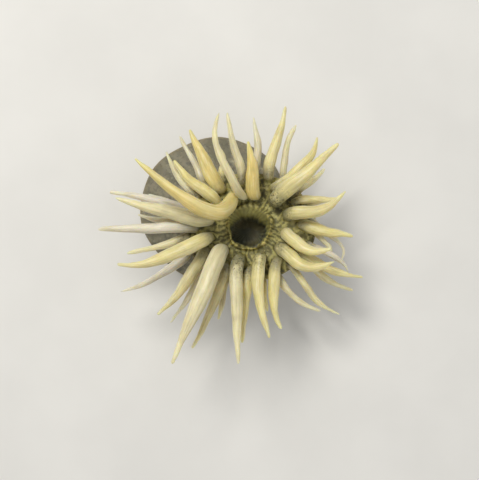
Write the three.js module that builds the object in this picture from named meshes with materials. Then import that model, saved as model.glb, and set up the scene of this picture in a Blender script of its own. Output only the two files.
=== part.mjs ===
// A small sea anemone with its crown spread, at life size: a broad flat foot, a short leaning
// column with rows of warts, a collar, an oval oral disc with a pleated mouth, and 48 tapering
// tentacles. Millimetres, +Z up. The origin is the middle of the foot's underside, and the
// mouth stands off to one side of it. +X is the long way of the oval disc. Bearings are degrees
// anticlockwise from +X in plan, lifts are degrees above the horizontal.
import * as THREE from "three";

// ---- driving dimensions -------------------------------------------------------------------

const GAP = 0.15; // between pieces that meet
const BODY_SIDES = 36; // facets round the body
const TENTACLE_SIDES = 8;

const FOOT_RADIUS = 15.5;
const FOOT_TOP = 2.2; // where the foot meets the column
const FOOT_OFFSET = [-7, 5.5]; // from under the mouth to the middle of the foot
const COLUMN_WAIST = 10.2; // narrowest radius of the column
const COLUMN_TOP = 11; // where the column meets the collar
const COLLAR_TOP = 13.2; // where the collar meets the disc
const RIM_RADIUS = 13; // edge of the disc
const OVAL = 0.82; // the disc's width along Y over its length along X

const THROAT_RADIUS = 3.6; // clear inside the mouth
const THROAT_WALL = 0.9;
const THROAT_FLOOR = 9;
const LIP_TOP = 15.6;
const LIP_PLEATS = 18;
const WART_HEIGHT = 0.22;

// The top of the disc as [radius, height], from the lip's foot to the rim.
const DISC_TOP = [
  [4.9, 14.9],
  [6.3, 14.9],
  [7.8, 15.2],
  [9.4, 15.5],
  [11, 15.2],
  [RIM_RADIUS - 0.3, 14.3],
];

// The three rows of tentacles. socket is the radius at which a row grows, first the bearing
// of its first tentacle and step the angle between two. A tentacle leaves the disc at the
// lift root, bends over a knee and ends at the lift tip.
const ROWS = {
  inner: { socket: 7.7, first: 18, step: 30, root: 70, mid: 10, tip: 3, knee: 0.3, stations: 9 },
  middle: { socket: 9.9, first: 33, step: 30, root: 42, mid: 2, tip: -8, knee: 0.28, stations: 8 },
  outer: { socket: 11.8, first: 25.5, step: 15, root: 18, mid: -7, tip: -14, knee: 0.26, stations: 6 },
};
const TIP_RADIUS = 0.3;

// Each row's tentacles in order round the disc. mid and tip are bearings, length is along the
// curve, girth is the radius at the root, and rise lifts the whole outer stretch by degrees.
// A tentacle starts along its own bearing unless lean gives [bearing, lift], and its knee is
// where its row's is unless bend gives the shares where the turn starts and ends. One that is
// long and bent is made in two lengths that meet at the share split. One that is crowded out
// of its row's ring has a socket of its own, [radius, bearing].
const POSES = {
  inner: [
    { mid: -4, tip: 53, length: 15, girth: 1.3, rise: 16, lean: [18, 70], bend: [0.05, 0.42] },
    { mid: 38, tip: 41, length: 18.5, girth: 1.5, rise: 7, lean: [194, 80] },
    { mid: 93, tip: 99, length: 12, girth: 1.3, rise: 14, lean: [227, 67], socket: [7.5, 79.5] },
    {
      mid: 149, tip: 137, length: 28, girth: 1.5, rise: 3,
      lean: [251, 52], bend: [0.09, 0.58], split: 0.28, socket: [7.75, 113],
    },
    { mid: 144, tip: 129, length: 12.5, girth: 1.15, rise: -4, lean: [137, 56] },
    { mid: 167, tip: 163, length: 20, girth: 1.35, rise: 0, lean: [219, 64] },
    {
      mid: 208, tip: 172, length: 21.5, girth: 1.4, rise: 0,
      lean: [219, 68], bend: [0, 0.54], split: 0.3, socket: [8.1, 199],
    },
    { mid: 249, tip: 247, length: 26.5, girth: 1.7, rise: 0, lean: [226, 79], split: 0.3 },
    { mid: 269, tip: 275, length: 22.5, girth: 1.25, rise: 0, lean: [233, 69] },
    { mid: 266, tip: 291, length: 18.5, girth: 1.2, rise: 2, lean: [179, 83] },
    { mid: 316, tip: 20, length: 13.5, girth: 1.3, rise: 10, split: 0.4 },
    { mid: 315, tip: 368, length: 12, girth: 1.25, rise: 14, lean: [203, 66] },
  ],
  middle: [
    { mid: -1, tip: 5, length: 9, girth: 0.8, rise: 4 },
    { mid: 46, tip: 86, length: 14, girth: 1.1, rise: 1, lean: [22, 34], bend: [0, 0.58] },
    {
      mid: 114, tip: 72, length: 21, girth: 0.86, rise: 8,
      lean: [165, 72], bend: [0, 0.58], socket: [6.58, 95.6],
    },
    { mid: 120, tip: 110, length: 13.5, girth: 1.35, rise: 8, lean: [131, 56] },
    { mid: 165, tip: 169, length: 18.5, girth: 0.95, rise: -1, lean: [202, 30] },
    { mid: 181, tip: 182, length: 19.5, girth: 1.05, rise: 0 },
    { mid: 237, tip: 226, length: 16, girth: 1.15, rise: 0, lean: [255, 41] },
    { mid: 250, tip: 239, length: 18, girth: 0.9, rise: 0, lean: [273, 41] },
    { mid: 268, tip: 262, length: 15, girth: 0.95, rise: 0, lean: [233, 43] },
    { mid: 262, tip: 293, length: 14, girth: 1.1, rise: 6, lean: [252, 52] },
    { mid: 325, tip: 358, length: 15, girth: 0.95, rise: -4.5, lean: [306, 34] },
    { mid: -18, tip: -9, length: 10.5, girth: 1.15, rise: 8, lean: [334, 42] },
  ],
  outer: [
    { mid: 8, tip: 14, length: 6.5, girth: 0.7, rise: 0 },
    { mid: 40, tip: 42, length: 7.5, girth: 0.7, rise: 0 },
    { mid: 83, tip: 64, length: 12.5, girth: 0.75, rise: 4, lean: [103, 18] },
    { mid: 69, tip: 80, length: 15, girth: 1.1, rise: 10, lean: [116, 44] },
    { mid: 90, tip: 98, length: 12, girth: 0.75, rise: 4, lean: [62, 18] },
    { mid: 105, tip: 103, length: 15, girth: 0.8, rise: 2, lean: [81, 18], socket: [9.7, 99] },
    { mid: 77, tip: 106, length: 6.5, girth: 0.7, rise: 0 },
    { mid: 115, tip: 117, length: 12, girth: 0.65, rise: 4, lean: [141, 18] },
    { mid: 130, tip: 113, length: 11.5, girth: 0.7, rise: 2 },
    { mid: 164, tip: 150, length: 9, girth: 0.7, rise: -3 },
    { mid: 176, tip: 162, length: 10, girth: 0.7, rise: 0 },
    { mid: 199, tip: 188, length: 12.5, girth: 0.7, rise: 0, lean: [205, 18] },
    { mid: 215, tip: 194, length: 17, girth: 0.85, rise: 0, lean: [239, 18] },
    { mid: 244, tip: 234, length: 14, girth: 0.65, rise: 0, lean: [273, 17] },
    { mid: 244, tip: 240, length: 9, girth: 0.65, rise: 0 },
    { mid: 256, tip: 262, length: 9, girth: 0.65, rise: 0 },
    { mid: 266, tip: 262, length: 9, girth: 0.65, rise: 0 },
    { mid: 280, tip: 278, length: 7, girth: 0.75, rise: 0, lean: [287, 26] },
    { mid: 304, tip: 349, length: 12, girth: 0.7, rise: 0 },
    { mid: 302, tip: 334, length: 14, girth: 0.7, rise: 0 },
    { mid: 312, tip: 349, length: 13, girth: 0.75, rise: -7, lean: [326, 10] },
    {
      mid: -29, tip: -99, length: 10.5, girth: 0.6, rise: 0,
      lean: [-29, 10], bend: [0.29, 0.78], split: 0.5,
    },
    {
      mid: -39, tip: -110, length: 7, girth: 0.65, rise: 0,
      lean: [324, 18], bend: [0.01, 0.55], split: 0.5,
    },
    { mid: 324, tip: 240, length: 11.5, girth: 0.6, rise: 0, lean: [-45, 4], bend: [0.12, 0.66] },
  ],
};

// ---- helpers ------------------------------------------------------------------------------

const radians = THREE.MathUtils.degToRad;
const { smoothstep, lerp } = THREE.MathUtils;

// How much the body is narrowed along Y: not at the foot or the mouth, fully at the rim.
function narrowing(radius, height) {
  const up = smoothstep(height, 4, COLLAR_TOP);
  const out = smoothstep(radius, THROAT_RADIUS, 8);
  return 1 - (1 - OVAL) * up * out;
}

// How far the body leans from under the mouth at a height, as a share of the foot's offset.
function leaning(height) {
  return 1 - smoothstep(height, 0, THROAT_FLOOR - THROAT_WALL - GAP);
}

// A ring-shaped or round solid turned from a closed profile of [radius, height], then drawn
// oval and leaned. shape gives a vertex its radius before that, for pleats and warts.
function turned(profile, shape = (radius) => radius) {
  const points = profile.map(([r, z]) => new THREE.Vector2(r, z));
  const lathe = new THREE.LatheGeometry(points, BODY_SIDES);
  lathe.rotateX(Math.PI / 2);
  const position = lathe.attributes.position;
  for (let i = 0; i < position.count; i++) {
    const x = position.getX(i);
    const y = position.getY(i);
    const z = position.getZ(i);
    const bearing = Math.atan2(y, x);
    const radius = Math.hypot(x, y);
    const moved = radius > 0 ? shape(radius, z, bearing) : 0;
    const out = moved * narrowing(radius, z);
    position.setX(i, moved * Math.cos(bearing) + FOOT_OFFSET[0] * leaning(z));
    position.setY(i, out * Math.sin(bearing) + FOOT_OFFSET[1] * leaning(z));
  }
  return lathe;
}

// Height of the disc's top at a radius.
function discTop(radius) {
  const last = DISC_TOP.length - 1;
  let i = 0;
  while (i < last - 1 && radius > DISC_TOP[i + 1][0]) i++;
  const [r0, z0] = DISC_TOP[i];
  const [r1, z1] = DISC_TOP[i + 1];
  return lerp(z0, z1, (radius - r0) / (r1 - r0));
}

// The direction of a bearing and a lift.
function heading(bearing, lift) {
  const b = radians(bearing);
  const e = radians(lift);
  return new THREE.Vector3(Math.cos(e) * Math.cos(b), Math.cos(e) * Math.sin(b), Math.sin(e));
}

function piece(name, geometry, material) {
  const mesh = new THREE.Mesh(geometry, material);
  mesh.name = name;
  return mesh;
}

// ---- materials ----------------------------------------------------------------------------

function flesh(color, roughness) {
  return new THREE.MeshStandardMaterial({ color, roughness, metalness: 0 });
}

const FLESH = {
  inner: flesh(0xd8cd8e, 0.4),
  middle: flesh(0xd2c896, 0.4),
  outer: flesh(0xcfc8b2, 0.42),
  disc: flesh(0x74703c, 0.5),
  lips: flesh(0x7d7942, 0.5),
  throat: flesh(0x3a3524, 0.5),
  column: flesh(0x75705a, 0.5),
};

// ---- the body -----------------------------------------------------------------------------

// The foot: a flat round sole with a thin flared edge.
function foot() {
  const profile = [
    [0, 0],
    [FOOT_RADIUS - 0.3, 0],
    [FOOT_RADIUS, 0.3],
    [FOOT_RADIUS - 0.5, 1.1],
    [FOOT_RADIUS - 1.6, FOOT_TOP],
    [0, FOOT_TOP],
  ];
  return turned(profile);
}

// The column, with the well that holds the throat, and warts in rows on its upper part.
function column() {
  const well = THROAT_RADIUS + THROAT_WALL + GAP;
  const profile = [
    [0, FOOT_TOP + GAP],
    [FOOT_RADIUS - 1.7, FOOT_TOP + GAP],
    [FOOT_RADIUS - 3, 3.5],
    [FOOT_RADIUS - 4.1, 4.8],
    [COLUMN_WAIST + 0.8, 6.1],
    [COLUMN_WAIST + 0.2, 7.4],
    [COLUMN_WAIST, 8.7],
    [COLUMN_WAIST, 9.9],
    [COLUMN_WAIST + 0.2, COLUMN_TOP],
    [well, COLUMN_TOP],
    [well, THROAT_FLOOR - THROAT_WALL - GAP],
    [0, THROAT_FLOOR - THROAT_WALL - GAP],
  ];
  const rows = BODY_SIDES / 2;
  return turned(profile, (radius, height, bearing) => {
    const onSkin = radius > well + 1 && height > 3 && height < COLUMN_TOP - 0.5;
    const row = Math.round(height / 1.25) % 2 ? 1 : -1;
    return onSkin ? radius + WART_HEIGHT * Math.max(0, row * Math.cos(rows * bearing)) : radius;
  });
}

// The collar: the folded top of the column, flaring out under the disc.
function collar() {
  const bore = THROAT_RADIUS + THROAT_WALL + GAP;
  const profile = [
    [bore, COLUMN_TOP + GAP],
    [COLUMN_WAIST + 0.2, COLUMN_TOP + GAP],
    [COLUMN_WAIST + 1.1, COLUMN_TOP + 0.9],
    [RIM_RADIUS - 1.1, COLLAR_TOP],
    [bore, COLLAR_TOP],
    [bore, COLUMN_TOP + GAP],
  ];
  return turned(profile);
}

// The oral disc: a shallow dish round the mouth, rising to the rim that bears the tentacles.
function oralDisc() {
  const bore = THROAT_RADIUS + THROAT_WALL + GAP;
  const profile = [
    [bore, COLLAR_TOP + GAP],
    [RIM_RADIUS - 1, COLLAR_TOP + GAP],
    [RIM_RADIUS, 13.8],
    ...DISC_TOP.slice().reverse(),
    [bore, 14.6],
    [bore, COLLAR_TOP + GAP],
  ];
  return turned(profile);
}

// The lips: a pleated ring round the mouth, standing over the throat and the disc's edge.
function lips() {
  const seat = 14.9 + GAP; // clears the disc's top and the throat's
  const inside = THROAT_RADIUS;
  const profile = [
    [inside, seat],
    [4.55, seat],
    [4.7, 15.2],
    [4.55, LIP_TOP - 0.12],
    [4.2, LIP_TOP],
    [3.85, LIP_TOP - 0.06],
    [inside, LIP_TOP - 0.2],
    [inside, seat],
  ];
  return turned(profile, (radius, height, bearing) => {
    const raised = smoothstep(height, seat, LIP_TOP);
    return radius + 0.12 * raised * Math.cos(LIP_PLEATS * bearing);
  });
}

// The throat: a deep cup that hangs from the mouth inside the column.
function throat() {
  const profile = [
    [0, THROAT_FLOOR - THROAT_WALL],
    [THROAT_RADIUS + THROAT_WALL, THROAT_FLOOR - THROAT_WALL],
    [THROAT_RADIUS + THROAT_WALL, 14.9],
    [THROAT_RADIUS, 14.9],
    [THROAT_RADIUS - 0.2, 12],
    [THROAT_RADIUS - 0.5, THROAT_FLOOR + 0.4],
    [THROAT_RADIUS - 1.2, THROAT_FLOOR],
    [0, THROAT_FLOOR],
  ];
  return turned(profile);
}

// ---- the tentacles ------------------------------------------------------------------------

// Radius along a tentacle, where share runs from 0 at the root to 1 at the tip: a slight
// swelling past the root, then a long taper.
function thickness(girth, share) {
  const swelling = 0.9 + 0.18 * Math.sin((Math.PI * Math.min(share, 0.8)) / 0.8);
  const taper = Math.pow(1 - Math.pow(share, 2.2), 0.95);
  return TIP_RADIUS + (girth * swelling - TIP_RADIUS) * taper;
}

// The centre line of a tentacle as points at equal steps of its length.
function centreLine(row, bearing, pose) {
  const [socket, place] = pose.socket ?? [row.socket, bearing];
  const b = radians(place);
  const flat = new THREE.Vector3(Math.cos(b), Math.sin(b) * OVAL, 0).multiplyScalar(socket);
  const start = flat.setZ(discTop(socket) + GAP);
  const [rootBearing, rootLift] = pose.lean ?? [bearing, row.root];
  const [bendStart, bendEnd] = pose.bend ?? [0, row.knee];
  const root = heading(rootBearing, rootLift);
  const mid = heading(pose.mid, row.mid + pose.rise);
  const tip = heading(pose.tip, row.tip + pose.rise);
  const steps = row.stations * 4;
  const step = pose.length / steps;
  const line = [start];
  for (let i = 0; i < steps; i++) {
    const share = (i + 0.5) / steps;
    const bent = smoothstep(share, bendStart, bendEnd);
    const swung = smoothstep(share, bendEnd, 1);
    const way = root.clone().lerp(mid, bent).lerp(tip, swung).normalize();
    line.push(line[i].clone().addScaledVector(way, step));
  }
  return line;
}

// A ring of points about a tentacle's centre line, square to it. The first ring of all lies on
// the disc instead.
function ring(centre, side, up, radius) {
  const points = [];
  for (let k = 0; k < TENTACLE_SIDES; k++) {
    const turn = (2 * Math.PI * k) / TENTACLE_SIDES;
    const point = centre.clone().addScaledVector(side, radius * Math.cos(turn));
    points.push(point.addScaledVector(up, radius * Math.sin(turn)));
  }
  return points;
}

// One length of a tentacle, between two shares of its centre line, as a closed tube.
function tentacle(row, bearing, pose, from, to) {
  const curve = new THREE.CatmullRomCurve3(centreLine(row, bearing, pose));
  const spans = Math.round(row.stations * (to - from));
  const across = heading(bearing + 90, 0);
  const side = across.clone();
  const rings = [];
  for (let i = 0; i <= spans; i++) {
    const share = lerp(from, to, i / spans);
    const last = share === 1;
    const along = curve.getTangentAt(share);
    side.addScaledVector(along, -side.dot(along)).normalize();
    const centre = curve.getPointAt(last ? 0.985 : share);
    const radius = last ? TIP_RADIUS * 0.9 : thickness(pose.girth, share);
    if (share > 0) {
      rings.push(ring(centre, side, along.clone().cross(side), radius));
      continue;
    }
    const sole = ring(centre, across, heading(bearing + 180, 0), radius);
    sole.forEach((point) => (point.z = discTop(Math.hypot(point.x, point.y / OVAL)) + GAP));
    rings.push(sole);
  }
  return closedTube(curve.getPointAt(from), rings, curve.getPointAt(to));
}

// Joins a point, rings of as many points each and another point into one closed mesh.
function closedTube(start, rings, end) {
  const points = [start, ...rings.flat(), end];
  const faces = [];
  const at = (row, k) => 1 + row * TENTACLE_SIDES + (k % TENTACLE_SIDES);
  const last = rings.length - 1;
  for (let k = 0; k < TENTACLE_SIDES; k++) {
    faces.push(0, at(0, k + 1), at(0, k));
    for (let row = 0; row < last; row++) {
      faces.push(at(row, k), at(row, k + 1), at(row + 1, k + 1));
      faces.push(at(row, k), at(row + 1, k + 1), at(row + 1, k));
    }
    faces.push(at(last, k), at(last, k + 1), points.length - 1);
  }
  const geometry = new THREE.BufferGeometry().setFromPoints(points);
  geometry.setIndex(faces);
  return geometry;
}

// ---- assembly -----------------------------------------------------------------------------

// Everything is made about the mouth's axis, then set down with the foot on the origin.
const body = new THREE.Group();
body.position.set(-FOOT_OFFSET[0], -FOOT_OFFSET[1], 0);

body.add(piece("pedal_disc", foot(), FLESH.column));
body.add(piece("column", column(), FLESH.column));
body.add(piece("collar", collar(), FLESH.column));
body.add(piece("oral_disc", oralDisc(), FLESH.disc));
body.add(piece("lips", lips(), FLESH.lips));
body.add(piece("throat", throat(), FLESH.throat));

for (const [name, row] of Object.entries(ROWS)) {
  POSES[name].forEach((pose, i) => {
    const bearing = row.first + i * row.step;
    const label = `tentacle_${name}_${String(i + 1).padStart(2, "0")}`;
    if (pose.split) {
      const apart = (0.5 * GAP) / pose.length;
      const base = tentacle(row, bearing, pose, 0, pose.split - apart);
      const tip = tentacle(row, bearing, pose, pose.split + apart, 1);
      body.add(piece(`${label}_base`, base, FLESH[name]));
      body.add(piece(`${label}_tip`, tip, FLESH[name]));
    } else {
      body.add(piece(label, tentacle(row, bearing, pose, 0, 1), FLESH[name]));
    }
  });
}

const anemone = new THREE.Group();
anemone.add(body);

export default anemone;
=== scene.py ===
import math
import random

import bmesh
import bpy
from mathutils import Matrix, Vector


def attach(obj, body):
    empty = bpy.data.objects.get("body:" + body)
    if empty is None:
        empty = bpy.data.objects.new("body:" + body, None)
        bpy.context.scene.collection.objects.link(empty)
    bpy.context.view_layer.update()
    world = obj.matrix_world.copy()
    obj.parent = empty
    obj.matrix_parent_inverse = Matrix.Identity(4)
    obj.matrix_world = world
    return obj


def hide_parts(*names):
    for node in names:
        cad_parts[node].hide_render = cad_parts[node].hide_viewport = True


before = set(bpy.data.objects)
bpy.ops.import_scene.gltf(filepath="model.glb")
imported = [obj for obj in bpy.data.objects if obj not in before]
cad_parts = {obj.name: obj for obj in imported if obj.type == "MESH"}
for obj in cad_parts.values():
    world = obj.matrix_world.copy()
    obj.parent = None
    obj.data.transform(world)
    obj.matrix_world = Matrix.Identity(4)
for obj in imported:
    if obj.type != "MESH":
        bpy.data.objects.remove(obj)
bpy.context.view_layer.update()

# A small sea anemone at life size. Lengths in the tables are millimetres and become metres
# as they are used. Everything is laid out about the mouth's axis, which stands MOUTH from the
# middle of the foot. Bearings are degrees anticlockwise from +X, lifts degrees above level.

MM = 0.001
UP = Vector((0, 0, 1))

# ---- the body ------------------------------------------------------------------------------

MOUTH = Vector((7.0, -5.5, 0.0))
MERIDIANS = 48
FIRST_MERIDIAN = 3.0
MERIDIAN_STEP = 360 / MERIDIANS
LEAN_TOP = 7.95  # the column stands upright above this height
OVAL = 0.82  # the disc's width along Y over its length along X
OVAL_HEIGHTS = (4, 13.2)  # the rings turn from round to oval between these heights
OVAL_RADII = (4, 8)  # and between these radii, so that the mouth stays round
FULLY_OVAL = 12  # a radius past the turning

# Each ring is (radius, height). From the foot's edge they run up the column, in over the disc
# and lips and down the throat. The sole's run from the same edge to the middle of the foot.
SOLE = [(14.4, 0.0), (6.0, 0.0)]
WALL = [
    (15.25, 0.0), (15.6, 0.3), (15.2, 0.9), (14.4, 1.6), (13.2, 2.6), (12.3, 3.7), (11.5, 4.9),
    (10.9, 6.1), (10.5, 7.4), (10.3, 8.7), (10.3, 9.9), (10.5, 11.0), (11.1, 11.8),
    (11.9, 12.6), (12.7, 13.4),
]
DISC = [
    (13.1, 13.9), (12.9, 14.3), (11.8, 14.9), (10.8, 15.25), (9.9, 15.4), (9.05, 15.45),
    (7.7, 15.2), (6.3, 14.95), (5.4, 14.75), (4.85, 14.85),
]
LIPS = [(4.6, 15.1), (4.35, 15.42), (4.1, 15.52), (3.85, 15.32), (3.65, 14.75)]
THROAT = [(3.5, 13.8), (3.35, 12.4), (3.15, 10.8), (2.7, 9.5), (1.4, 9.0)]

# Where the pleats are: between which distances from the mouth's axis and which heights.
PLEATED_DISC = (3.6, 7)
PLEATED_LIPS = (3.6, 4.7)
PLEATED_THROAT = (1, 3.6)
ABOVE_DISC = (14.4, math.inf)
IN_THROAT = (9.05, 14.4)

# How far the pleats vary: every second meridian sinks and folds in, the others hardly move.
SINK = (0.02, 0.26)
RISE = (-0.08, 0.08)
FOLD_IN = (0.8, 0.94)
FOLD_OUT = (0.96, 1.06)
LIP_RAGGED = (-0.04, 0.04)
PLEAT_SEED = 11

# The mouth's own shape: how far out and between which heights it is drawn in, by how much and
# about which point from the mouth's axis, and how far it then moves.
MOUTH_REACH = 3.9
MOUTH_HEIGHTS = (8.9, 14.85)
MOUTH_SCALE = (1.05, 0.88, 1)
MOUTH_SCALE_CENTRE = Vector((0, -3, 0))
MOUTH_SHIFT = Vector((-0.1, -0.55, 0))
MOUTH_SLOPE = 2.2  # how far out the disc follows it

FOOT_WANDER = 0.055  # how far the foot's edge comes in, over its radius
FOOT_EDGE_TOP = 2
FOOT_EDGE_START = 12

# The warts: their zone, the lots below which one is missing or low, and for low and high ones
# the height, the radius and how pale they are.
WART_HEIGHTS = (2.6, 12.4)
WART_REACH = 8
WARTS_MISSING = 0.2
WARTS_LOW = 0.6
WART_INSET = 0.2
LOW_WART = (0.25, 0.38, 0.6)
HIGH_WART = (0.42, 0.5, 1)
WART_SEED = 5

# ---- the tentacles -------------------------------------------------------------------------

# Each row: radius of its sockets, the first one's bearing and the step between two, the lift
# at the root, past the knee and at the tip, where the knee ends, and how many lengths are
# drawn out.
ROWS = {
    "inner": dict(socket=7.7, first=18.0, step=30.0, root=70, mid=10, tip=3, knee=0.3, spans=11),
    "middle": dict(socket=9.9, first=33.0, step=30.0, root=42, mid=2, tip=-8, knee=0.28, spans=9),
    "outer": dict(socket=11.8, first=25.5, step=15.0, root=18, mid=-7, tip=-14, knee=0.26, spans=7),
}
# The tentacles crowded out of their row's ring, with the radius and bearing of their sockets.
SOCKETS = {
    ("inner", 2): (7.5, 79.5), ("inner", 3): (7.75, 113.0), ("inner", 6): (8.1, 199.0),
    ("middle", 2): (6.58, 95.6), ("outer", 5): (9.7, 99.0),
}

# Per tentacle: bearing past the knee, bearing at the tip, length, radius, rise, and for some
# the root's own bearing and lift and the shares between which the knee turns.
POSES = {
    "inner": [
        (-4, 53, 15, 1.3, 16, (18, 70), (0.05, 0.42)),
        (38, 41, 18.5, 1.5, 7, (194, 80)),
        (93, 99, 12, 1.3, 14, (227, 67)),
        (149, 137, 28, 1.5, 3, (251, 52), (0.09, 0.58)),
        (144, 129, 12.5, 1.15, -4, (137, 56)),
        (167, 163, 20, 1.35, 0, (219, 64)),
        (208, 172, 21.5, 1.4, 0, (219, 68), (0, 0.54)),
        (249, 247, 26.5, 1.7, 0, (226, 79)),
        (269, 275, 22.5, 1.25, 0, (233, 69)),
        (266, 291, 18.5, 1.2, 2, (179, 83)),
        (316, 20, 13.5, 1.3, 10),
        (315, 368, 12, 1.25, 14, (203, 66)),
    ],
    "middle": [
        (-1, 5, 9, 0.8, 4),
        (46, 86, 14, 1.1, 1, (22, 34), (0, 0.58)),
        (114, 72, 21, 0.86, 8, (165, 72), (0, 0.58)),
        (120, 110, 13.5, 1.35, 8, (131, 56)),
        (165, 169, 18.5, 0.95, -1, (202, 30)),
        (181, 182, 19.5, 1.05, 0),
        (237, 226, 16, 1.15, 0, (255, 41)),
        (250, 239, 18, 0.9, 0, (273, 41)),
        (268, 262, 15, 0.95, 0, (233, 43)),
        (262, 293, 14, 1.1, 6, (252, 52)),
        (325, 358, 15, 0.95, -4.5, (306, 34)),
        (-18, -9, 10.5, 1.15, 8, (334, 42)),
    ],
    "outer": [
        (8, 14, 6.5, 0.7, 0),
        (40, 42, 7.5, 0.7, 0),
        (83, 64, 12.5, 0.75, 4, (103, 18)),
        (69, 80, 15, 1.1, 10, (116, 44)),
        (90, 98, 12, 0.75, 4, (62, 18)),
        (105, 103, 15, 0.8, 2, (81, 18)),
        (77, 106, 6.5, 0.7, 0),
        (115, 117, 12, 0.65, 4, (141, 18)),
        (130, 113, 11.5, 0.7, 2),
        (164, 150, 9, 0.7, -3),
        (176, 162, 10, 0.7, 0),
        (199, 188, 12.5, 0.7, 0, (205, 18)),
        (215, 194, 17, 0.85, 0, (239, 18)),
        (244, 234, 14, 0.65, 0, (273, 17)),
        (244, 240, 9, 0.65, 0),
        (256, 262, 9, 0.65, 0),
        (266, 262, 9, 0.65, 0),
        (280, 278, 7, 0.75, 0, (287, 26)),
        (304, 349, 12, 0.7, 0),
        (302, 334, 14, 0.7, 0),
        (312, 349, 13, 0.75, -7, (326, 10)),
        (-29, -99, 10.5, 0.6, 0, (-29, 10), (0.29, 0.78)),
        (-39, -110, 7, 0.55, 0, (324, 18), (0.01, 0.55)),
        (324, 240, 11.5, 0.54, 0, (-45, 4), (0.12, 0.66)),
    ],
}

# Each tentacle's colour in the same order: -1 amber, 0 yellow, 0.5 cream, 1 milky.
TONES = {
    "inner": [0.0, 0.0, -0.7, -0.6, -0.1, 0.5, 0.1, 0.5, 0.5, 0.0, -0.1, 0.0],
    "middle": [0.2, -0.1, 0.45, -0.5, 1.0, 0.95, 0.3, 0.35, 0.0, -0.1, 0.1, -0.1],
    "outer": [0.3, 0.5, 0.55, 0.15, 0.75, 0.6, 0.0, 0.8, 0.6, 0.9, 0.9, 0.5,
              1.0, 0.8, 0.6, 0.6, 0.3, 0.1, 0.6, 0.4, 0.5, 1.0, 0.7, 0.9],
}

# How dark each root is: -0.4 as pale as the rest, 0 a faint shade, 1 a full smudge.
PALE_ROOT = -0.4
SMUDGES = {
    "inner": [0.75, 1.0, 0.1, -0.3, 0.2, 0.15, 0.4, 0.2, 1.0, 1.0, 0.7, 0.3],
    "middle": [0.5, 0.5, PALE_ROOT, 0.3, -0.1, 0.3, 0.45, 0.45, 0.6, 0.5, 0.5, 0.4],
    "outer": [0.5] * 24,
}

LINE_STEPS = 120  # the short steps in which a tentacle's centre line is walked
LINE_CROWDING = 1.12  # above 1, the drawn rings crowd towards the root
WOBBLE = 0.16  # how far a tentacle strays to either side of its line
WOBBLE_PACE = 7.5  # radians of straying along a tentacle

TIP_RADIUS = 0.26
NECK = 0.86  # the root's thickness over the tentacle's own
NECK_END = 0.12
BELLY = 0.18  # how much a tentacle swells, fullest halfway to BELLY_END
BELLY_BASE = 0.9
BELLY_END = 0.8
TAPER = 2.2  # above 1, the taper is slow at the root and quick at the tip
TAPER_CURVE = 0.95
TIP_CAP = 0.2  # the blunt end past the last ring
ON_THE_LINE = 0.02  # nearer than this to the centre line, a vertex has no side
SMOOTHING = 1.15  # subdivision draws a ring in by about an eighth

SOCKET_INSET = 0.22
ROOT_SPREAD = 1.04  # a root's rim over the tentacle's own thickness there
ROOT_FLATNESS = 0.4
ROOT_RAISE = 0.2  # a stout root overhangs its foot a little

# Soft uneven swellings of the flesh above the sole.
SWELLING_SIZE = 2.2
SWELLING_DEPTH = 0.45
SWELLING_START = 1.2


# ---- small tools ---------------------------------------------------------------------------

def smoothstep(value, low, high):
    t = min(1.0, max(0.0, (value - low) / (high - low)))
    return t * t * (3 - 2 * t)


def inside(value, limits):
    return limits[0] < value < limits[1]


def heading(bearing, lift):
    """The unit direction of a bearing and a lift."""
    b, e = math.radians(bearing), math.radians(lift)
    return Vector((math.cos(e) * math.cos(b), math.cos(e) * math.sin(b), math.sin(e)))


def ring_place(radius, height):
    """The middle of a body ring and its half lengths along X and Y, in metres."""
    up = smoothstep(height, *OVAL_HEIGHTS)
    out = smoothstep(radius, *OVAL_RADII)
    narrow = 1 - (1 - OVAL) * up * out
    upright = smoothstep(height, 0, LEAN_TOP)
    centre = Vector((MOUTH.x * upright, MOUTH.y * upright, height)) * MM
    return centre, radius * MM, radius * narrow * MM


def disc_height(radius):
    """Height of the disc's top at a radius, in millimetres."""
    rings = sorted(DISC[1:])
    for (r0, z0), (r1, z1) in zip(rings, rings[1:]):
        if radius <= r1:
            return z0 + (z1 - z0) * (radius - r0) / (r1 - r0)
    return rings[-1][1]


def from_mouth(point):
    """A point's distance from the mouth's axis, in millimetres."""
    return math.hypot(point.x / MM - MOUTH.x, point.y / MM - MOUTH.y)


def shares_to_draw(spans):
    """Shares of a tentacle's length where a ring is drawn, closer together near the root."""
    return [(i / spans) ** LINE_CROWDING for i in range(1, spans + 1)]


def centre_line(row, bearing, pose, socket, shares):
    """Points and directions of a tentacle's centre line at the given shares, in metres."""
    mid, tip, length, _, rise, *more = pose
    lean = more[0] if more else (bearing, row["root"])
    bend = more[1] if len(more) > 1 else (0.0, row["knee"])
    root = heading(*lean)
    middle = heading(mid, row["mid"] + rise)
    end = heading(tip, row["tip"] + rise)
    radius, b = socket[0], math.radians(socket[1])
    point = Vector((radius * math.cos(b), radius * math.sin(b) * OVAL, disc_height(radius)))
    point += MOUTH
    found, due = [], list(shares)
    for i in range(LINE_STEPS):
        share = (i + 0.5) / LINE_STEPS
        way = root.lerp(middle, smoothstep(share, *bend))
        way = way.lerp(end, smoothstep(share, bend[1], 1)).normalized()
        point = point + way * (length / LINE_STEPS)
        while due and (i + 1) / LINE_STEPS >= due[0] - 1e-9:
            side = way.cross(UP).normalized()
            sway = WOBBLE * min(1, 3 * share) * math.sin(WOBBLE_PACE * share + bearing)
            found.append(((point + side * sway) * MM, way.copy(), due.pop(0)))
    return found


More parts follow.
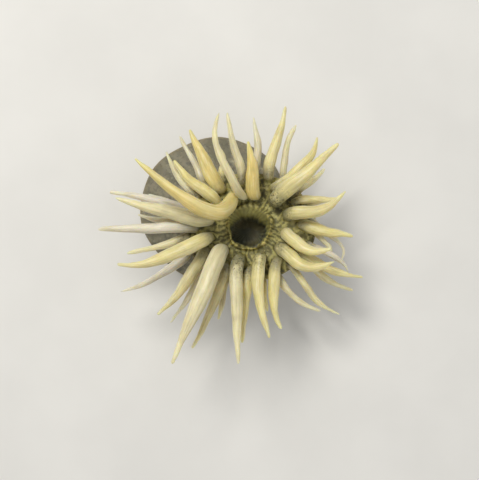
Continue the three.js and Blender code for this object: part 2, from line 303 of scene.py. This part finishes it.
def thickness(girth, share):
    """Radius along a tentacle: a neck at the root, fullest at a third, then a long taper."""
    neck = NECK + (1 - NECK) * smoothstep(share, 0, NECK_END)
    swelling = BELLY_BASE + BELLY * math.sin(math.pi * min(share, BELLY_END) / BELLY_END)
    taper = (1 - share ** TAPER) ** TAPER_CURVE if share < 1 else 0.0
    return (TIP_RADIUS + (girth * neck * swelling - TIP_RADIUS) * taper) * MM


# ---- work in edit mode ---------------------------------------------------------------------

def mesh_now():
    bm = bmesh.from_edit_mesh(bpy.context.object.data)
    bm.verts.index_update()
    bm.faces.index_update()
    return bm


def choose(vertices=None, faces=None):
    """Selects just these vertices or faces."""
    numbers = [element.index for element in (faces if vertices is None else vertices)]
    bpy.ops.mesh.select_all(action="DESELECT")
    bpy.ops.mesh.select_mode(type="FACE" if vertices is None else "VERT")
    bm = mesh_now()
    sequence = bm.faces if vertices is None else bm.verts
    sequence.ensure_lookup_table()
    for number in numbers:
        sequence[number].select_set(True)
    bm.select_flush_mode()
    bmesh.update_edit_mesh(bpy.context.object.data, loop_triangles=False, destructive=False)


def chosen():
    return [v for v in mesh_now().verts if v.select]


def rim_of_chosen():
    """The selected vertices round the edge of the selected faces."""
    return [v for v in chosen() if not all(f.select for f in v.link_faces)]


def turn(start, end, centre):
    """Turns what is selected about a point, from one direction to another."""
    angles = start.rotation_difference(end).to_euler("XYZ")
    for axis, angle in zip("XYZ", angles):
        if abs(angle) > 1e-4:
            # with no window the operator turns the other way
            bpy.ops.transform.rotate(value=-angle, orient_axis=axis, center_override=centre)


def scale_about(centre, x, y, z):
    bpy.ops.transform.resize(value=(x, y, z), center_override=centre)


def draw_rings(rings, start):
    """Draws the selected loop on through body rings."""
    centre, x, y = start
    for radius, height in rings:
        new_centre, new_x, new_y = ring_place(radius, height)
        bpy.ops.mesh.extrude_edges_move(
            TRANSFORM_OT_translate={"value": new_centre - centre})
        scale_about(new_centre, new_x / x, new_y / y, 1)
        centre, x, y = new_centre, new_x, new_y


def even_out(numbers, place, out, left, radius, phase=0.0):
    """Spaces the vertices of these numbers evenly on a circle round a place, in the plane of
    two directions, and leaves just them selected."""
    square = out.cross(left)
    spots = []
    for v in mesh_now().verts:
        if v.index in numbers:
            off = v.co - place
            around = (math.atan2(off.dot(left), off.dot(out)) - phase) % math.tau
            spots.append((around, v.index, off))
    step = math.tau / len(spots)
    spots.sort(key=lambda spot: (spot[0] + step / 2) % math.tau)
    for i, (_, number, off) in enumerate(spots):
        around = phase + i * step
        shift = (out * math.cos(around) + left * math.sin(around)) * radius - off
        choose(vertices=[v for v in mesh_now().verts if v.index == number])
        bpy.ops.transform.translate(value=shift - square * shift.dot(square))
    choose(vertices=[v for v in mesh_now().verts if v.index in numbers])


# ---- the body's cage -----------------------------------------------------------------------

def make_wall_to_throat():
    """One surface from the foot's edge up the wall, over the disc and lips, down the throat,
    with the sole closed under it."""
    bpy.ops.object.select_all(action="DESELECT")
    start = ring_place(*WALL[0])
    bpy.ops.mesh.primitive_circle_add(
        vertices=MERIDIANS, radius=start[1], rotation=(0, 0, math.radians(FIRST_MERIDIAN)))
    bpy.ops.object.transform_apply(location=True, rotation=True, scale=True)
    skin = bpy.context.object
    skin.name = skin.data.name = "anemone_skin"
    bpy.ops.object.mode_set(mode="EDIT")
    bm = mesh_now()
    for layer in ("along", "tone", "smudge", "seed", "wart"):
        bm.verts.layers.float.new(layer)
    bm.verts.layers.float_vector.new("round")
    bpy.ops.mesh.select_mode(type="VERT")
    bpy.ops.mesh.select_all(action="SELECT")
    bpy.ops.transform.translate(value=start[0])
    draw_rings(WALL[1:] + DISC + LIPS + THROAT, start)
    bpy.ops.mesh.extrude_edges_move()
    bpy.ops.mesh.merge(type="CENTER")
    choose(vertices=[v for v in mesh_now().verts if v.is_boundary])
    draw_rings(SOLE, start)
    bpy.ops.mesh.extrude_edges_move()
    bpy.ops.mesh.merge(type="CENTER")
    bpy.ops.mesh.select_all(action="SELECT")
    bpy.ops.mesh.normals_make_consistent(inside=False)
    return skin


def meridian(v):
    """The number of the meridian a body vertex stands on, counted from the first."""
    centre, x, y = ring_place(FULLY_OVAL, v.co.z / MM)
    around = math.degrees(math.atan2((v.co.y - centre.y) / y, (v.co.x - centre.x) / x))
    return round((around - FIRST_MERIDIAN) / MERIDIAN_STEP) % MERIDIANS


def bearing_of(number):
    """A meridian's bearing, in radians."""
    return math.radians(FIRST_MERIDIAN + number * MERIDIAN_STEP)


def choose_on_meridian(number, reach, heights):
    """Selects a meridian's vertices between two distances from the mouth and two heights."""
    choose(vertices=[v for v in mesh_now().verts
                     if inside(from_mouth(v.co), reach) and inside(v.co.z / MM, heights)
                     and meridian(v) == number])


def pleat():
    """Sinks the meridians of the disc and lips unevenly, mostly every second one, lets the
    lips' edge wave, and draws the throat's wall into lengthwise folds."""
    chance = random.Random(PLEAT_SEED)
    for number in range(MERIDIANS):
        around = bearing_of(number)
        second = number % 2 == 1
        wave = 0.1 * math.sin(3 * around + 1) + 0.07 * math.sin(5 * around)
        sink = chance.uniform(*(SINK if second else RISE))
        choose_on_meridian(number, PLEATED_DISC, ABOVE_DISC)
        bpy.ops.transform.translate(value=(0, 0, -sink * MM))
        choose_on_meridian(number, PLEATED_LIPS, ABOVE_DISC)
        bpy.ops.transform.translate(value=(0, 0, wave * MM))
        spread = 1 + 0.4 * wave + chance.uniform(*LIP_RAGGED)
        scale_about(MOUTH * MM, spread, spread, 1)
        fold = chance.uniform(*(FOLD_IN if second else FOLD_OUT))
        choose_on_meridian(number, PLEATED_THROAT, IN_THROAT)
        scale_about(MOUTH * MM, fold, fold, 1)


def slant_mouth():
    """Narrows the throat to an oval and draws it with its lips towards -Y, so that the disc
    slopes down to it on the other side."""
    choose(vertices=[v for v in mesh_now().verts
                     if from_mouth(v.co) < MOUTH_REACH and inside(v.co.z / MM, MOUTH_HEIGHTS)])
    scale_about((MOUTH + MOUTH_SCALE_CENTRE) * MM, *MOUTH_SCALE)
    bpy.ops.transform.translate(
        value=MOUTH_SHIFT * MM, use_proportional_edit=True,
        use_proportional_connected=True, proportional_size=MOUTH_SLOPE * MM)


def wave_foot():
    """Makes the foot's edge wander a little, as flesh that holds a rock does."""
    for number in range(MERIDIANS):
        around = bearing_of(number)
        wave = 0.5 + 0.3 * math.sin(3 * around + 2) + 0.2 * math.sin(7 * around)
        choose(vertices=[v for v in mesh_now().verts
                         if v.co.z < FOOT_EDGE_TOP * MM and v.co.xy.length > FOOT_EDGE_START * MM
                         and meridian(v) == number])
        scale_about((0, 0, 0), 1 - FOOT_WANDER * wave, 1 - FOOT_WANDER * wave, 1)


def wart_places():
    """Middles of the faces that carry a low wart and of those that carry a high one: every
    second face of every second course up the wall, some left bare."""
    chance = random.Random(WART_SEED)
    places = []
    for f in mesh_now().faces:
        middle = f.calc_center_median()
        if not inside(middle.z / MM, WART_HEIGHTS) or from_mouth(middle) < WART_REACH:
            continue
        course = sum(1 for _, height in WALL if height * MM < middle.z)
        number = min(meridian(v) for v in f.verts)
        if number == 0 and max(meridian(v) for v in f.verts) == MERIDIANS - 1:
            number = MERIDIANS - 1
        if course % 2 == 0 and number % 2 == (course // 2) % 2:
            places.append((course, number, middle))
    low, high = [], []
    for _, _, middle in sorted(places, key=lambda place: place[:2]):
        lot = chance.random()
        if lot > WARTS_MISSING:
            (high if lot > WARTS_LOW else low).append(middle)
    return low, high


def raise_warts():
    """Warts in rows up the wall, some low, some high and some missing."""
    low, high = wart_places()
    for spots, (height, radius, pale) in ((low, LOW_WART), (high, HIGH_WART)):
        choose(faces=[f for f in mesh_now().faces if f.calc_center_median() in spots])
        bpy.ops.mesh.inset(thickness=WART_INSET * MM, depth=height * MM, use_individual=True)
        bm = mesh_now()
        wart = bm.verts.layers.float["wart"]
        for v in bm.verts:
            if v.select:
                v[wart] = pale
        tops = [(f.calc_center_median(), f.normal.copy(), [v.index for v in f.verts])
                for f in bm.faces if f.select]
        for middle, normal, numbers in tops:
            across = UP.cross(normal).normalized()
            even_out(numbers, middle, across, normal.cross(across), radius * MM, math.pi / 4)


# ---- the tentacles' cages ------------------------------------------------------------------

def socket_faces(place):
    """The four faces round the vertex nearest to a place."""
    return min(mesh_now().verts, key=lambda v: (v.co - place).length).link_faces


def open_socket(place, bearing, girth, raised):
    """Turns the four faces round a place into a round root and leaves them selected."""
    middle = min(mesh_now().verts, key=lambda v: (v.co - place).length)
    shift = place - middle.co
    choose(vertices=[middle])
    bpy.ops.transform.translate(value=shift)
    choose(faces=socket_faces(place))
    bpy.ops.mesh.inset(thickness=SOCKET_INSET * MM)
    rim = rim_of_chosen()
    radius = sum((v.co - place).xy.length for v in rim) / len(rim)
    even_out([v.index for v in rim], place, heading(bearing, 0), heading(bearing + 90, 0), radius)
    rim = chosen()
    spread = sum((v.co - place).length for v in rim) / len(rim)
    growth = ROOT_SPREAD * girth / spread
    scale_about(place, growth, growth, ROOT_FLATNESS)
    if raised:
        bpy.ops.transform.translate(value=(0, 0, ROOT_RAISE * MM))
    choose(faces=socket_faces(place))


def note_ring(point, way, side, share, looks):
    """Writes how far along, the looks and which way round on the selected ring."""
    bm = mesh_now()
    floats = bm.verts.layers.float
    round_ = bm.verts.layers.float_vector["round"]
    other = way.cross(side)
    for v in bm.verts:
        if v.select:
            v[floats["along"]] = share
            for layer, value in looks.items():
                v[floats[layer]] = value
            out = v.co - point
            out = out - way * out.dot(way)
            out = out.normalized() if out.length > ON_THE_LINE * MM else out * 0
            v[round_] = Vector((out.dot(side), out.dot(other), share))


def grow_tentacle(row_name, number, pose):
    """Draws one tentacle out of the four faces round its socket."""
    row = ROWS[row_name]
    bearing = row["first"] + number * row["step"]
    looks = dict(tone=TONES[row_name][number], smudge=SMUDGES[row_name][number],
                 seed=random.Random(bearing).random())
    socket = SOCKETS.get((row_name, number), (row["socket"], bearing))
    centre, x, y = ring_place(socket[0], disc_height(socket[0]))
    b = math.radians(socket[1])
    centre = centre + Vector((x * math.cos(b), y * math.sin(b), 0))
    radius = thickness(pose[3], 0) * SMOOTHING
    open_socket(centre, bearing, radius, raised=row_name != "outer")
    way, side = UP, -heading(bearing, 0)
    note_ring(centre, way, side, 0, looks)
    stations = centre_line(row, bearing, pose, socket, shares_to_draw(row["spans"]))
    for point, new_way, share in stations:
        new_radius = thickness(pose[3], share) * SMOOTHING
        bpy.ops.mesh.extrude_region_move(TRANSFORM_OT_translate={"value": point - centre})
        turn(way, new_way, point)
        side = way.rotation_difference(new_way) @ side
        scale_about(point, *[new_radius / radius] * 3)
        note_ring(point, new_way, side, share, looks)
        centre, way, radius = point, new_way, new_radius
    end = centre + way * TIP_CAP * MM
    bpy.ops.mesh.extrude_region_move(TRANSFORM_OT_translate={"value": end - centre})
    scale_about(end, 0.5, 0.5, 0.5)


# ---- the skin from the cage ----------------------------------------------------------------

def round_off(skin):
    rounder = skin.modifiers.new("round", "SUBSURF")
    rounder.levels = rounder.render_levels = 1
    bpy.ops.object.modifier_apply(modifier="round")


def swell(skin):
    lumps = bpy.data.textures.new("swellings", "CLOUDS")
    lumps.noise_scale = SWELLING_SIZE * MM
    lumps.noise_depth = 1
    swelling = skin.modifiers.new("swell", "DISPLACE")
    swelling.texture = lumps
    swelling.strength = SWELLING_DEPTH * MM
    swelling.vertex_group = "above_the_sole"
    bpy.ops.object.modifier_apply(modifier="swell")


def finish_skin(skin):
    """Rounds the cage, gives the flesh above the sole soft uneven swellings and rounds it
    again."""
    bpy.ops.mesh.select_mode(type="VERT")
    choose(vertices=[v for v in mesh_now().verts if v.co.z > SWELLING_START * MM])
    skin.vertex_groups.new(name="above_the_sole")
    bpy.ops.object.vertex_group_assign()
    bpy.ops.object.mode_set(mode="OBJECT")
    round_off(skin)
    swell(skin)
    round_off(skin)
    bpy.ops.object.shade_smooth()


# ---- finishes ------------------------------------------------------------------------------

# The flesh's and the floor's colours, as 0 to 255 screen values.
COLOURS = {
    # the length of a tentacle, by its tone
    "amber": (218, 192, 112),
    "yellow": (217, 206, 142),
    "straw": (216, 206, 152),
    "cream": (212, 205, 168),
    "milky": (210, 205, 190),
    # its root, end, pale streaks (also painted on the flanks as a rim light) and darker hollows,
    # amber and milky
    "amber root": (152, 148, 92),
    "milky root": (150, 142, 120),
    "amber end": (214, 202, 128),
    "milky end": (228, 221, 192),
    "amber streak": (234, 228, 180),
    "milky streak": (232, 226, 212),
    "amber hollow": (176, 164, 98),
    "milky hollow": (166, 159, 132),
    # the smudge of a root
    "faint patch": (176, 170, 146),
    "full patch": (122, 120, 86),
    "speck": (64, 62, 42),
    "root's foot": (116, 114, 68),
    # the disc and the throat; the furrow colour is partly the disc's own lines and partly painted
    # shade in its creases
    "furrow": (94, 89, 42),
    "ridge": (166, 157, 90),
    "disc light": (200, 190, 128),
    "disc blotch": (196, 186, 132),
    "gullet": (136, 130, 66),
    "deep brown": (98, 92, 60),
    "deep green": (90, 92, 70),
    # the wall
    "dark stripe": (114, 110, 90),
    "pale stripe": (134, 129, 108),
    "wall cloud": (140, 131, 110),
    "wall dot": (158, 152, 124),
    "wart": (168, 162, 132),
    "foot's edge": (128, 118, 92),
    # the floor
    "floor": (216, 214, 208),
    "pale floor": (222, 220, 214),
}


def paint(name):
    """A colour's values for a shader."""
    values = [c / 255 for c in COLOURS[name]]
    return [c / 12.92 if c <= 0.04045 else ((c + 0.055) / 1.055) ** 2.4 for c in values] + [1]


class Finish:
    """A material built node by node."""

    def __init__(self, name):
        self.material = bpy.data.materials.new(name)
        self.material.use_nodes = True
        self.tree = self.material.node_tree
        self.shader = self.tree.nodes["Principled BSDF"]

    def give(self, socket, value):
        if isinstance(value, bpy.types.NodeSocket):
            self.tree.links.new(value, socket)
        else:
            socket.default_value = value

    def node(self, kind, out=0, settings=(), **inputs):
        """Adds a node. Inputs are given by name, or as i0, i1 by number."""
        made = self.tree.nodes.new(kind)
        for key, value in dict(settings).items():
            setattr(made, key, value)
        for key, value in inputs.items():
            numbered = key[0] == "i" and key[1:].isdigit()
            self.give(made.inputs[int(key[1:]) if numbered else key], value)
        return made.outputs[out]

    def read(self, attribute, out="Fac"):
        return self.node("ShaderNodeAttribute", out, dict(attribute_name=attribute))

    def place(self):
        return self.node("ShaderNodeTexCoord", "Object")

    def split(self, vector, axis):
        return self.node("ShaderNodeSeparateXYZ", axis, i0=vector)

    def math(self, operation, a, b=0.0):
        return self.node("ShaderNodeMath", settings=dict(operation=operation), i0=a, i1=b)

    def plus(self, a, b):
        return self.math("ADD", a, b)

    def minus(self, a, b):
        return self.math("SUBTRACT", a, b)

    def times(self, a, b):
        return self.math("MULTIPLY", a, b)

    def over(self, a, b):
        return self.math("DIVIDE", a, b)

    def about_zero(self, noise, strength):
        """A noise made to swing to either side of nothing."""
        return self.times(self.minus(noise, 0.5), strength)

    def between(self, value, low, high):
        """0 below low, 1 above high and a soft step between. The two may be swapped."""
        return self.node("ShaderNodeMapRange", settings=dict(interpolation_type="SMOOTHSTEP"),
                         i0=value, i1=low, i2=high)

    def blend(self, kind, share, a, b):
        made = self.tree.nodes.new("ShaderNodeMix")
        made.data_type = "RGBA"
        made.blend_type = kind
        for number, value in ((0, share), (6, a), (7, b)):
            self.give(made.inputs[number], value)
        return made.outputs[2]

    def mix(self, share, a, b):
        return self.blend("MIX", share, a, b)

    def shade(self, share, colour, by):
        """The colour times by, where share is 1."""
        return self.blend("MULTIPLY", share, colour, [by, by, by, 1])

    def noise(self, vector, scale, detail=2.0, rough=0.5):
        return self.node("ShaderNodeTexNoise", Vector=vector, Scale=scale, Detail=detail,
                         Roughness=rough)

    def ramp(self, value, *stops):
        made = self.tree.nodes.new("ShaderNodeValToRGB")
        self.give(made.inputs[0], value)
        stones = made.color_ramp.elements
        while len(stones) < len(stops):
            stones.new(0.5)
        for stone, (where, colour) in zip(stones, stops):
            stone.position, stone.color = where, colour
        return made.outputs[0]


class Flesh(Finish):
    """Wet living flesh: amber, yellow and milky tentacles, an olive disc, a grey-olive wall."""

    FURROWS = 30.0  # round the disc
    STRIPES = 48.0  # round the wall
    STRAYING = 0.9  # the whole swing of a furrow, in radians
    PATTERN_OVAL = 0.9  # the furrows' width along Y over their length along X

    def __init__(self):
        super().__init__("anemone_flesh")
        self.along, self.tone, self.smudge, self.seed = [
            self.read(layer) for layer in ("along", "tone", "smudge", "seed")]
        self.round = self.read("round", "Vector")
        self.object_place = self.place()
        self.mottle = self.noise(self.object_place, 1400.0, 3.0, 0.6)
        self.clouds = self.noise(self.object_place, 260.0, 2.0)
        self.blotches = self.noise(self.object_place, 420.0, 3.0, 0.6)
        self.wander = self.about_zero(self.clouds, self.STRAYING)
        self.height = self.split(self.object_place, 2)
        self.measure_from_mouth()
        self.streaks = self.make_streaks()

    def measure_from_mouth(self):
        """The bearing about the mouth's axis, the distance from it, and the furrows' beat."""
        dx = self.minus(self.split(self.object_place, 0), MOUTH.x * MM)
        dy = self.minus(self.split(self.object_place, 1), MOUTH.y * MM)
        dy = self.over(dy, self.PATTERN_OVAL)
        self.bearing = self.math("ARCTAN2", dy, dx)
        self.from_axis = self.math("SQRT", self.plus(self.times(dx, dx), self.times(dy, dy)))
        strayed = self.plus(self.bearing, self.wander)
        self.beats = self.math("SINE", self.times(strayed, self.FURROWS))

    def make_streaks(self):
        """Streaks that run the length of a tentacle: they follow the way round it and hardly
        change along it. The seed sets each tentacle's apart."""
        far = self.node("ShaderNodeVectorMath", settings=dict(operation="MULTIPLY"),
                        i0=self.round, i1=(1, 1, 1.3))
        apart = self.node("ShaderNodeCombineXYZ", i2=self.times(self.seed, 40.0))
        streak_place = self.node("ShaderNodeVectorMath", settings=dict(operation="ADD"),
                                 i0=far, i1=apart)
        return self.noise(streak_place, 3.2, 3.0, 0.6)

    def tentacle(self):
        """A tentacle's length and root, from amber to milky, with streaks and hollows, and both
        flanks lightened as a painted rim light.
        """
        hue = self.times(self.plus(self.tone, 1.0), 0.5)
        length = self.ramp(hue, (0.0, paint("amber")), (0.45, paint("yellow")),
                           (0.6, paint("straw")), (0.8, paint("cream")), (1.0, paint("milky")))
        root = self.mix(hue, paint("amber root"), paint("milky root"))
        end = self.mix(hue, paint("amber end"), paint("milky end"))
        streak_and_rim_light = self.mix(hue, paint("amber streak"), paint("milky streak"))
        hollow = self.mix(hue, paint("amber hollow"), paint("milky hollow"))
        young = self.times(self.between(self.along, 0.26, 0.02),
                           self.between(self.smudge, PALE_ROOT, 1.0))
        colour = self.mix(young, length, root)
        colour = self.mix(self.times(self.between(self.along, 0.6, 1.0), 0.6), colour, end)
        colour = self.mix(self.times(self.between(self.clouds, 0.42, 0.62), 0.3), colour, hollow)
        colour = self.mix(self.times(self.between(self.streaks, 0.5, 0.72), 0.5), colour, streak_and_rim_light)
        colour = self.mix(self.times(self.between(self.streaks, 0.5, 0.3), 0.5), colour, hollow)
        # Painted highlight: both flanks are lightened towards the pale streak colour, a painted rim
        # light standing in for light glowing through the thin edges.
        painted_rim_side = self.math("ABSOLUTE", self.split(self.round, 1))
        return self.mix(self.times(self.between(painted_rim_side, 0.75, 1.0), 0.25), colour, streak_and_rim_light)

    def smudged(self, colour):
        """Grey patches with dark specks on the side of each root that faces the mouth."""
        oral = self.split(self.round, 0)
        reach = self.over(self.along, self.plus(self.times(self.smudge, 0.6), 0.4))
        lap = self.times(self.between(reach, 0.38, 0.1), self.between(oral, -0.3, 0.4))
        lap = self.times(lap, self.between(self.smudge, 0.0, 0.5))
        uneven = self.between(self.noise(self.object_place, 620.0, 3.0), 0.28, 0.56)
        colour = self.mix(self.times(self.times(lap, uneven), 0.85), colour,
                          self.mix(self.smudge, paint("faint patch"), paint("full patch")))
        dotted = self.between(self.noise(self.object_place, 2400.0, 2.0), 0.54, 0.64)
        specks = self.times(self.times(lap, self.smudge), dotted)
        colour = self.mix(self.times(specks, 0.9), colour, paint("speck"))
        foot = self.times(self.between(reach, 0.13, 0.0), self.between(self.smudge, 0.2, 0.9))
        return self.mix(self.times(foot, 0.75), colour, paint("root's foot"))

    def disc(self):
        """Olive, with dark furrows that wander out from the mouth between paler ridges; the
        furrows' darkness is partly the disc's own lines and partly painted shade in its creases.
        """
        # Partly painted shade: the furrow lines are darkened as shaded creases would be, on top of
        # the disc's own radial lines.
        furrow_lines_and_shade = self.plus(self.times(self.beats, 0.5), self.about_zero(self.mottle, 3.0))
        colour = self.mix(self.between(furrow_lines_and_shade, -0.6, 0.7), paint("furrow"), paint("ridge"))
        colour = self.mix(self.times(self.between(self.mottle, 0.52, 0.7), 0.5), colour,
                          paint("disc light"))
        colour = self.shade(self.times(self.between(self.blotches, 0.56, 0.36), 0.75),
                            colour, 0.45)
        return self.mix(self.times(self.between(self.blotches, 0.54, 0.68), 0.3), colour,
                        paint("disc blotch"))

    def throat(self):
        """Olive at the lips and darker further down, with blotches and painted shade in lengthwise
        creases.
        """
        deep = self.mix(self.between(self.clouds, 0.4, 0.6), paint("deep brown"),
                        paint("deep green"))
        colour = self.mix(self.between(self.height, 15.2 * MM, 11.4 * MM), paint("gullet"), deep)
        colour = self.shade(self.times(self.between(self.blotches, 0.56, 0.4), 0.6), colour, 0.55)
        # Painted shade: the lengthwise creases are darkened as if shadowed.
        painted_crease_shade = self.times(self.between(self.beats, 0.4, -0.8),
                             self.between(self.clouds, 0.3, 0.6))
        return self.shade(painted_crease_shade, colour, 0.7)

    def wall(self):
        """Grey-olive with faint upright stripes, pale warts and paler dots."""
        unsteady = self.plus(self.bearing, self.times(self.wander, 0.12))
        stripes = self.math("SINE", self.times(unsteady, self.STRIPES))
        worn = self.plus(stripes, self.about_zero(self.mottle, 4.0))
        colour = self.mix(self.between(worn, -0.8, 1.4), paint("dark stripe"),
                          paint("pale stripe"))
        colour = self.mix(self.times(self.between(self.clouds, 0.45, 0.7), 0.5), colour,
                          paint("wall cloud"))
        dots = self.node("ShaderNodeTexVoronoi", Vector=self.object_place, Scale=900.0)
        colour = self.mix(self.times(self.between(dots, 0.3, 0.16), 0.4), colour,
                          paint("wall dot"))
        colour = self.mix(self.times(self.read("wart"), 0.6), colour, paint("wart"))
        colour = self.shade(self.times(self.between(self.mottle, 0.5, 0.32), 0.6), colour, 0.66)
        return self.mix(self.between(self.height, 1.2 * MM, 0.1 * MM), colour,
                        paint("foot's edge"))

    def finished(self):
        """Joins the colours, each in its own place, and sets the wet surface."""
        grown = self.between(self.along, 0.0, 0.05)  # 1 on a tentacle
        body = self.mix(self.between(self.height, 13.5 * MM, 14.4 * MM), self.wall(), self.disc())
        body = self.mix(self.between(self.from_axis, 4.3 * MM, 3.8 * MM), body, self.throat())
        colour = self.mix(grown, body, self.smudged(self.tentacle()))
        colour = self.shade(self.times(self.between(self.mottle, 0.46, 0.3), 0.3), colour, 0.8)
        wet = self.between(self.noise(self.object_place, 700.0, 2.0), 0.3, 0.7)
        gloss = self.node("ShaderNodeMapRange", i0=wet, i1=0.0, i2=1.0, i3=0.42, i4=0.62)
        dull_body = self.times(self.minus(1.0, grown), 0.2)
        grain = self.plus(self.times(self.mottle, 0.6), self.times(self.streaks, 1.2))
        relief = self.node("ShaderNodeBump", Strength=0.4, Distance=0.14 * MM, Height=grain)
        inputs = self.shader.inputs
        self.give(inputs["Base Color"], colour)
        self.give(inputs["Roughness"], self.plus(gloss, dull_body))
        self.give(inputs["Subsurface Weight"], 0.8)
        self.give(inputs["Subsurface Radius"], (1.0, 0.75, 0.35))
        self.give(inputs["Subsurface Scale"], 2 * MM)
        self.give(inputs["Coat Weight"], self.times(grown, 0.1))
        self.give(inputs["Coat Roughness"], 0.22)
        self.give(inputs["Normal"], relief)
        return self.material


def floor_finish():
    f = Finish("pale_floor")
    tone = f.between(f.noise(f.place(), 40.0, 4.0), 0.3, 0.7)
    f.give(f.shader.inputs["Base Color"], f.mix(tone, paint("floor"), paint("pale floor")))
    f.give(f.shader.inputs["Roughness"], 0.8)
    return f.material


# ---- the anemone ---------------------------------------------------------------------------

skin = make_wall_to_throat()
pleat()
slant_mouth()
wave_foot()
raise_warts()
for row_name, poses in POSES.items():
    for number, pose in enumerate(poses):
        grow_tentacle(row_name, number, pose)
finish_skin(skin)
skin.data.materials.append(Flesh().finished())
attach(skin, "root")
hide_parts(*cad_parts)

# ---- floor, lights, camera -----------------------------------------------------------------

bpy.ops.mesh.primitive_plane_add(size=3)
floor = bpy.context.object
floor.name = "floor"
floor.data.materials.append(floor_finish())


def area_light(name, place, size, power, colour=(1, 1, 1)):
    bpy.ops.object.light_add(type="AREA", location=place)
    light = bpy.context.object
    light.name = name
    light.data.size = size
    light.data.energy = power
    light.data.color = colour
    light.rotation_euler = (MOUTH * MM - Vector(place)).to_track_quat("-Z", "Y").to_euler()


def studio_world(colour, strength):
    scene = bpy.context.scene
    scene.world = bpy.data.worlds.new("studio")
    scene.world.use_nodes = True
    background = scene.world.node_tree.nodes["Background"]
    background.inputs["Color"].default_value = colour
    background.inputs["Strength"].default_value = strength


area_light("key", place=(-0.1, 0.12, 0.32), size=0.12, power=0.9, colour=(1, 0.985, 0.95))
area_light("fill", place=(0.25, -0.2, 0.25), size=0.3, power=0.32)
studio_world(colour=(0.96, 0.97, 1, 1), strength=0.4)
bpy.context.scene.view_settings.view_transform = "Standard"

# The camera looks along +Y and steeply down. The view's middle is given from the mouth's axis.
CAMERA_LIFT = 83.0
CAMERA_AWAY = 0.26
VIEW_LONG_SIDE = 0.0936
VIEW_MIDDLE = (-1.85, -2.34)
VIEW_HEIGHT = 12.0
SENSOR = 36
aim = Vector((MOUTH.x + VIEW_MIDDLE[0], MOUTH.y + VIEW_MIDDLE[1], VIEW_HEIGHT)) * MM
looking = heading(90, -CAMERA_LIFT)
bpy.ops.object.camera_add()
camera = bpy.context.object
camera.location = aim - looking * CAMERA_AWAY
camera.rotation_euler = looking.to_track_quat("-Z", "Y").to_euler()
camera.data.sensor_width = SENSOR
camera.data.lens = SENSOR * CAMERA_AWAY / VIEW_LONG_SIDE
camera.data.clip_start = 0.01
bpy.context.scene.camera = camera
